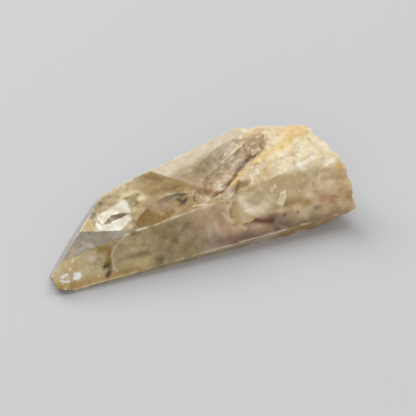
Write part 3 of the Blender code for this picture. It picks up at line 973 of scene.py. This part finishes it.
def citrine_material():
    """Clear golden quartz with absorbing depth, veiled more or less by milky quartz in painted colours."""
    material, tree, output = new_material("citrine_quartz")
    place = node(tree, "ShaderNodeTexCoord", output=3)
    tone = node(tree, "ShaderNodeAttribute", {"attribute_name": "tone"})
    milk = node(tree, "ShaderNodeAttribute", {"attribute_name": "milk"}, output=2)
    matt = node(tree, "ShaderNodeAttribute", {"attribute_name": "matt"}, output=2)

    def noise(scale, detail=3.0, distortion=0.0):
        """A cloudy pattern from 0 to 1 on the crystal's own coordinates."""
        return node(
            tree, "ShaderNodeTexNoise", None, Vector=place, Scale=scale, Detail=detail, Distortion=distortion
        )

    mottle, speck = noise(MOTTLE_SCALE), noise(SPECK_SCALE, 2.0)
    grain, cloud = noise(GRAIN_SCALE, 4.0), noise(CLOUD_SCALE, 5.0, 0.4)
    cells = node(tree, "ShaderNodeTexVoronoi", None, output=1, Vector=place, Scale=CELL_SCALE, Randomness=1.0)
    cell = node(tree, "ShaderNodeSeparateColor", None, cells)
    colour = blended(tree, (mottle - 0.5) * 1.2 + 0.12, tone, WARM_MOTTLE, "MULTIPLY")
    colour = blended(tree, ((cloud - 0.5) * 3.0).limited() * 0.3, colour, PALE_CLOUD)
    colour = blended(tree, ((speck - 0.66) * 9.0).limited() * 0.4, colour, DARK_SPECK)
    # Painted glints: bright spots mixed into the base colour in the rough parts.
    painted_glint_mask = ((cell - 0.86) * 8.0).limited() * ((mottle - 0.5) * 6.0).limited() * matt * 0.5
    colour = blended(tree, painted_glint_mask, colour, PAINTED_GLINT_TONE)
    colour = blended(tree, ((0.14 - cell) * 8.0).limited() * matt * 0.4, colour, BROWN_GRAIN)
    height = grain * matt + mottle * 0.12 + cell * (matt - 0.05) * 0.4
    bump = node(tree, "ShaderNodeBump", None, Strength=GRAIN_STRENGTH, Distance=GRAIN_HEIGHT, Height=height)
    milky = node(
        tree, "ShaderNodeBsdfPrincipled", None, Base_Color=colour, Roughness=matt + (mottle - 0.5) * 0.2,
        Normal=bump, IOR=QUARTZ_IOR, Specular_IOR_Level=MILKY_SPECULAR, Subsurface_Weight=MILKY_SCATTER,
        Subsurface_Radius=SCATTER_RADIUS, Subsurface_Scale=SCATTER_SCALE,
    )
    clear = node(
        tree, "ShaderNodeBsdfPrincipled", None, Base_Color=CLEAR_TINT, Roughness=matt * 0.35, Normal=bump,
        IOR=QUARTZ_IOR, Transmission_Weight=1.0,
    )
    veil = (milk + (cloud - 0.5) * 0.5 * (1.0 - milk)).limited()
    quartz = node(tree, "ShaderNodeMixShader", None, veil, clear, milky)
    tree.links.new(quartz.socket, output.inputs["Surface"])
    depth = node(tree, "ShaderNodeVolumeAbsorption", None, Color=GOLD_DEPTH, Density=GOLD_DENSITY)
    tree.links.new(depth.socket, output.inputs["Volume"])
    return material


citrine = citrine_material()
crystal.data.materials.append(citrine)
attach(crystal, "root")
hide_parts("crystal_point")

# The bright fractures
# Thin wavy cracks that healed just under the top and the front face at the tip. Their walls throw the light
# back. Each is a closed sheet within the outline of its light patch, sunk under the face.
SHEET_ROWS, SHEET_COLUMNS = 14, 60
SHEET_THICKNESS, SHEET_WAVES, TOP_SINK, FRONT_SINK = 0.10, 0.22, 0.35, 0.30
CLEAN_WALL, STAINED_WALL, WALL_ROUGHNESS = (0.98, 0.96, 0.90), (0.93, 0.84, 0.62), 0.25
RIPPLE_SCALE, RIPPLE_STRENGTH, RIPPLE_HEIGHT = 1100.0, 0.6, 0.0003


def lifted(outline, face, axis):
    """Outline points on a face: the missing coordinate of each, x, y or z by the axis, from the face's
    plane."""
    normal = face_normal(*face[:2])
    kept = [number for number in range(3) if number != axis]
    places = np.zeros((len(outline), 3))
    places[:, kept] = outline
    places[:, axis] = (face[2] - places[:, kept] @ normal[kept]) / normal[axis]
    return places


def fracture(outline, normal, sink, channel):
    """A thin closed sheet: out from its middle to the outline on the upper side and back on the lower, sunk
    along the normal and wavy, with its thickness falling from the middle to nothing at the rim."""
    count = len(outline)
    step = np.arange(SHEET_COLUMNS) / SHEET_COLUMNS * count
    before, share = np.floor(step).astype(int), (step % 1)[:, None]
    rim = outline[before % count] * (1 - share) + outline[(before + 1) % count] * share
    middle = outline.mean(axis=0)
    travel = np.concatenate([np.arange(1, 2 * SHEET_ROWS) / SHEET_ROWS, [0.0, 2.0]])
    spread = (1 - np.abs(1 - travel))[:, None]
    flat = middle + spread[..., None] * (rim - middle)
    side = np.where(travel < 1, 1, -1)[:, None]
    height = side * SHEET_THICKNESS * (1 - spread**4) / 2 - sink + SHEET_WAVES * rough(flat, 1.3, channel, 2)
    places = flat + height[..., None] * normal
    return np.concatenate([places[:-2].reshape(-1, 3), places[-2:, 0]]), 2 * SHEET_ROWS - 1, SHEET_COLUMNS


def joined(shells):
    """Points and triangles of several closed shells as one mesh's."""
    places, faces, count = [], [], 0
    for points, rows, columns in shells:
        places.append(points)
        faces.append(shell_triangles(rows, columns) + count)
        count += len(points)
    return np.concatenate(places), np.concatenate(faces)


top_face, front_face = PRISM_FACES[TOP - 1], PRISM_FACES[FRONT - 1]
sheets = [
    fracture(lifted(outline, top_face, 2), face_normal(*top_face[:2]), TOP_SINK, 400 + number)
    for number, outline in enumerate((UPPER_FRACTURE, LOWER_FRACTURE))
]
sheets += [
    fracture(lifted(outline, front_face, 1), face_normal(*front_face[:2]), FRONT_SINK, 410 + number)
    for number, outline in enumerate(TIP_SPARKS)
]
places, faces = joined(sheets)
fractures = mesh_object("inner_fractures", (places + AXIS) * MM, faces)
silver, tree, output = new_material("bright_fracture")
place = node(tree, "ShaderNodeTexCoord", output=3)
ripple = node(tree, "ShaderNodeTexNoise", None, Vector=place, Scale=RIPPLE_SCALE, Detail=3.0)
bump = node(tree, "ShaderNodeBump", None, Strength=RIPPLE_STRENGTH, Distance=RIPPLE_HEIGHT, Height=ripple)
tint = blended(tree, ((ripple - 0.5) * 3.0).limited(), CLEAN_WALL, STAINED_WALL)
wall = node(tree, "ShaderNodeBsdfPrincipled", None, Base_Color=tint, Roughness=WALL_ROUGHNESS, Normal=bump)
tree.links.new(wall.socket, output.inputs["Surface"])
fractures.data.materials.append(silver)
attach(fractures, "root")

# The flake and the half-buried crystals
# A thin flake of quartz overhangs the valley, and two small crystals stand half buried in the broken front.
# All grew with the big one and are of the same quartz.
FLAKE_OUTLINE = (
    (10.3, 7.3), (11.75, 8.0), (13.5, 6.4), (13.0, 3.9), (10.9, 2.5), (9.3, 2.6), (9.1, 4.5), (9.5, 6.3),
)
FLAKE_MIDDLE, FLAKE_TOP, FLAKE_UNDERCUT = (11.2, 5.1, 6.1), 6.8, 30.0
FLAKE_FACETS = (
    ((-0.16, -0.10, 1.0), 0.0), ((-0.75, -0.35, 1.0), 0.62),
    ((0.35, -0.60, 1.0), 0.55), ((-0.10, 0.55, 1.0), 0.85),
)
FLAKE_BOTTOM = (-0.15, 0.05, -1.0), 0.75
SMALL_CRYSTALS = (
    ((11.3, -5.35, 1.9), (0.60, 0.30, 0.74), 0.85, 2.0),
    ((9.6, -4.2, 2.7), (0.62, 0.50, 0.60), 0.62, 2.0),
)
QUARTZ_SIDES, POINT_LEAN = 6, 52.0
STONE_ROWS, STONE_COLUMNS = 44, 88
FLAKE_GRAIN, CRYSTAL_GRAIN = 0.34, 0.05
LOOSE_STONE = 60


def cut_stone(middle, planes, channel, relief):
    """A convex stone: from its middle every ray ends on the nearest of the planes, each given by its outward
    normal and distance, and faint facets are chiselled into it."""
    polar = np.concatenate([np.arange(1, STONE_ROWS) / STONE_ROWS, [0.0, 1.0]])[:, None] * math.pi
    around = np.arange(STONE_COLUMNS)[None, :] / STONE_COLUMNS * 2 * math.pi
    way = np.stack([
        np.sin(polar) * np.cos(around), np.sin(polar) * np.sin(around), np.cos(polar) * np.ones_like(around),
    ], axis=-1)
    start = np.zeros_like(way) + np.array(middle)
    normals = np.array([normal for normal, distance in planes], float)
    normals /= np.linalg.norm(normals, axis=-1, keepdims=True)
    distances = normals @ np.array(middle) + np.array([distance for normal, distance in planes])
    reach = np.min([to_plane(start, way, *plane) for plane in zip(normals, distances)], axis=0)
    places = start + reach[..., None] * way
    places -= (relief * chiselled(places, 0.9, channel))[..., None] * way
    return np.concatenate([places[:-2].reshape(-1, 3), places[-2:, 0]]), STONE_ROWS - 1, STONE_COLUMNS


def flake_planes():
    """The undercut sides of the flake's outline, which runs clockwise from above, then its top facets and its
    bottom, each as its outward normal and its distance from the flake's middle."""
    middle, lean = np.array(FLAKE_MIDDLE[:2]), math.radians(FLAKE_UNDERCUT)
    thickness, planes = FLAKE_TOP - FLAKE_MIDDLE[2], []
    for (x0, y0), (x1, y1) in zip(FLAKE_OUTLINE, FLAKE_OUTLINE[1:] + FLAKE_OUTLINE[:1]):
        outwards = np.array([y0 - y1, x1 - x0]) / math.hypot(x1 - x0, y1 - y0)
        normal = (*(outwards * math.cos(lean)), -math.sin(lean))
        aside = (np.array([x0, y0]) - middle) @ outwards * math.cos(lean)
        planes.append((normal, aside - thickness * math.sin(lean)))
    return planes + [(normal, thickness + more) for normal, more in FLAKE_FACETS] + [FLAKE_BOTTOM]


def quartz_planes(axis, radius, half_length):
    """Six prism faces round an axis, and six sloping faces that close each end in a point."""
    axis = np.array(axis) / np.linalg.norm(axis)
    first = np.cross(axis, (0.2, 1.0, 0.1))
    first /= np.linalg.norm(first)
    second, lean, planes = np.cross(axis, first), math.radians(POINT_LEAN), []
    for side in range(QUARTZ_SIDES):
        turn = 2 * math.pi * side / QUARTZ_SIDES
        aside = math.cos(turn) * first + math.sin(turn) * second
        planes.append((aside, radius))
        for way in (1, -1):
            normal = way * math.cos(lean) * axis + math.sin(lean) * aside
            planes.append((normal, math.cos(lean) * half_length))
    return planes


def add_stones(name, shells, tone, milk):
    """One piece from closed shells, painted sugary pale with brown spots."""
    places, faces = joined(shells)
    thing = mesh_object(name, (places + AXIS) * MM, faces)
    thing.data.set_sharp_from_angle(angle=SHARP_ANGLE)
    stone_coat = Coat(places, np.full(len(places), LOOSE_STONE), tone, milk, 0.25)
    stone_coat.wash(ease(rough(places, 0.9, 440), 0.1, 0.45), "efe3c8", 0.7)
    stone_coat.wash(ease(-rough(places, 0.8, 441), 0.25, 0.6), "a88a5c", 0.7)
    give_attributes(thing, stone_coat)
    thing.data.materials.append(citrine)
    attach(thing, "root")


add_stones("thin_flake", [cut_stone(FLAKE_MIDDLE, flake_planes(), 430, FLAKE_GRAIN)], "a8916c", 1.0)
small = [cut_stone(middle, quartz_planes(*form), 450, CRYSTAL_GRAIN) for middle, *form in SMALL_CRYSTALS]
add_stones("small_crystals", small, "e2cda0", 1.0)

# The studio
# A pale floor, one large soft lamp from above and behind, a smaller one overhead, a weak one in front, and a
# dim even surround.
FLOOR_SIDE, FLOOR_TONE, FLOOR_ROUGHNESS = 1.6, (0.58, 0.58, 0.59, 1), 0.9
SURROUND_TONE, SURROUND_STRENGTH = (0.97, 0.98, 1.0, 1), 0.42
bpy.ops.mesh.primitive_plane_add(size=FLOOR_SIDE)
floor = bpy.context.active_object
floor.name = "floor"
paper = bpy.data.materials.new("pale_floor")
paper.use_nodes = True
paper.node_tree.nodes["Principled BSDF"].inputs["Base Color"].default_value = FLOOR_TONE
paper.node_tree.nodes["Principled BSDF"].inputs["Roughness"].default_value = FLOOR_ROUGHNESS
floor.data.materials.append(paper)

bpy.context.scene.view_settings.view_transform = "Standard"
world = bpy.data.worlds.new("surround")
bpy.context.scene.world = world
world.use_nodes = True
world.node_tree.nodes["Background"].inputs["Color"].default_value = SURROUND_TONE
world.node_tree.nodes["Background"].inputs["Strength"].default_value = SURROUND_STRENGTH


def soft_lamp(name, place, size, power):
    """A square lamp that faces the crystal from a place in metres."""
    data = bpy.data.lights.new(name, "AREA")
    data.size = size
    data.energy = power
    lamp = bpy.data.objects.new(name, data)
    lamp.location = place
    lamp.rotation_euler = (-Vector(place)).to_track_quat("-Z", "Y").to_euler()
    bpy.context.scene.collection.objects.link(lamp)
    return lamp


soft_lamp("lamp_behind", (-0.25, 0.75, 0.80), 0.7, 6.8)
soft_lamp("lamp_overhead", (0.15, 0.05, 0.9), 0.6, 2.0)
soft_lamp("lamp_in_front", (-0.45, -0.85, 0.50), 0.8, 3.0)

# The camera
# It looks down on the crystal's front from the tip's side, from far enough that its 14 degrees span 7 cm.
VIEW_TURN, VIEW_HEIGHT, VIEW_WIDTH, VIEW_DISTANCE = -25.0, 38.0, 14.0, 289.68
turn, height = math.radians(VIEW_TURN), math.radians(VIEW_HEIGHT)
back = np.array([math.sin(turn) * math.cos(height), -math.cos(turn) * math.cos(height), math.sin(height)])
camera = bpy.data.objects.new("camera", bpy.data.cameras.new("camera"))
camera.data.sensor_fit = "HORIZONTAL"
camera.data.angle = math.radians(VIEW_WIDTH)
camera.location = (AXIS + back * VIEW_DISTANCE) * MM
camera.rotation_euler = (math.radians(90 - VIEW_HEIGHT), 0, turn)
bpy.context.scene.collection.objects.link(camera)
bpy.context.scene.camera = camera
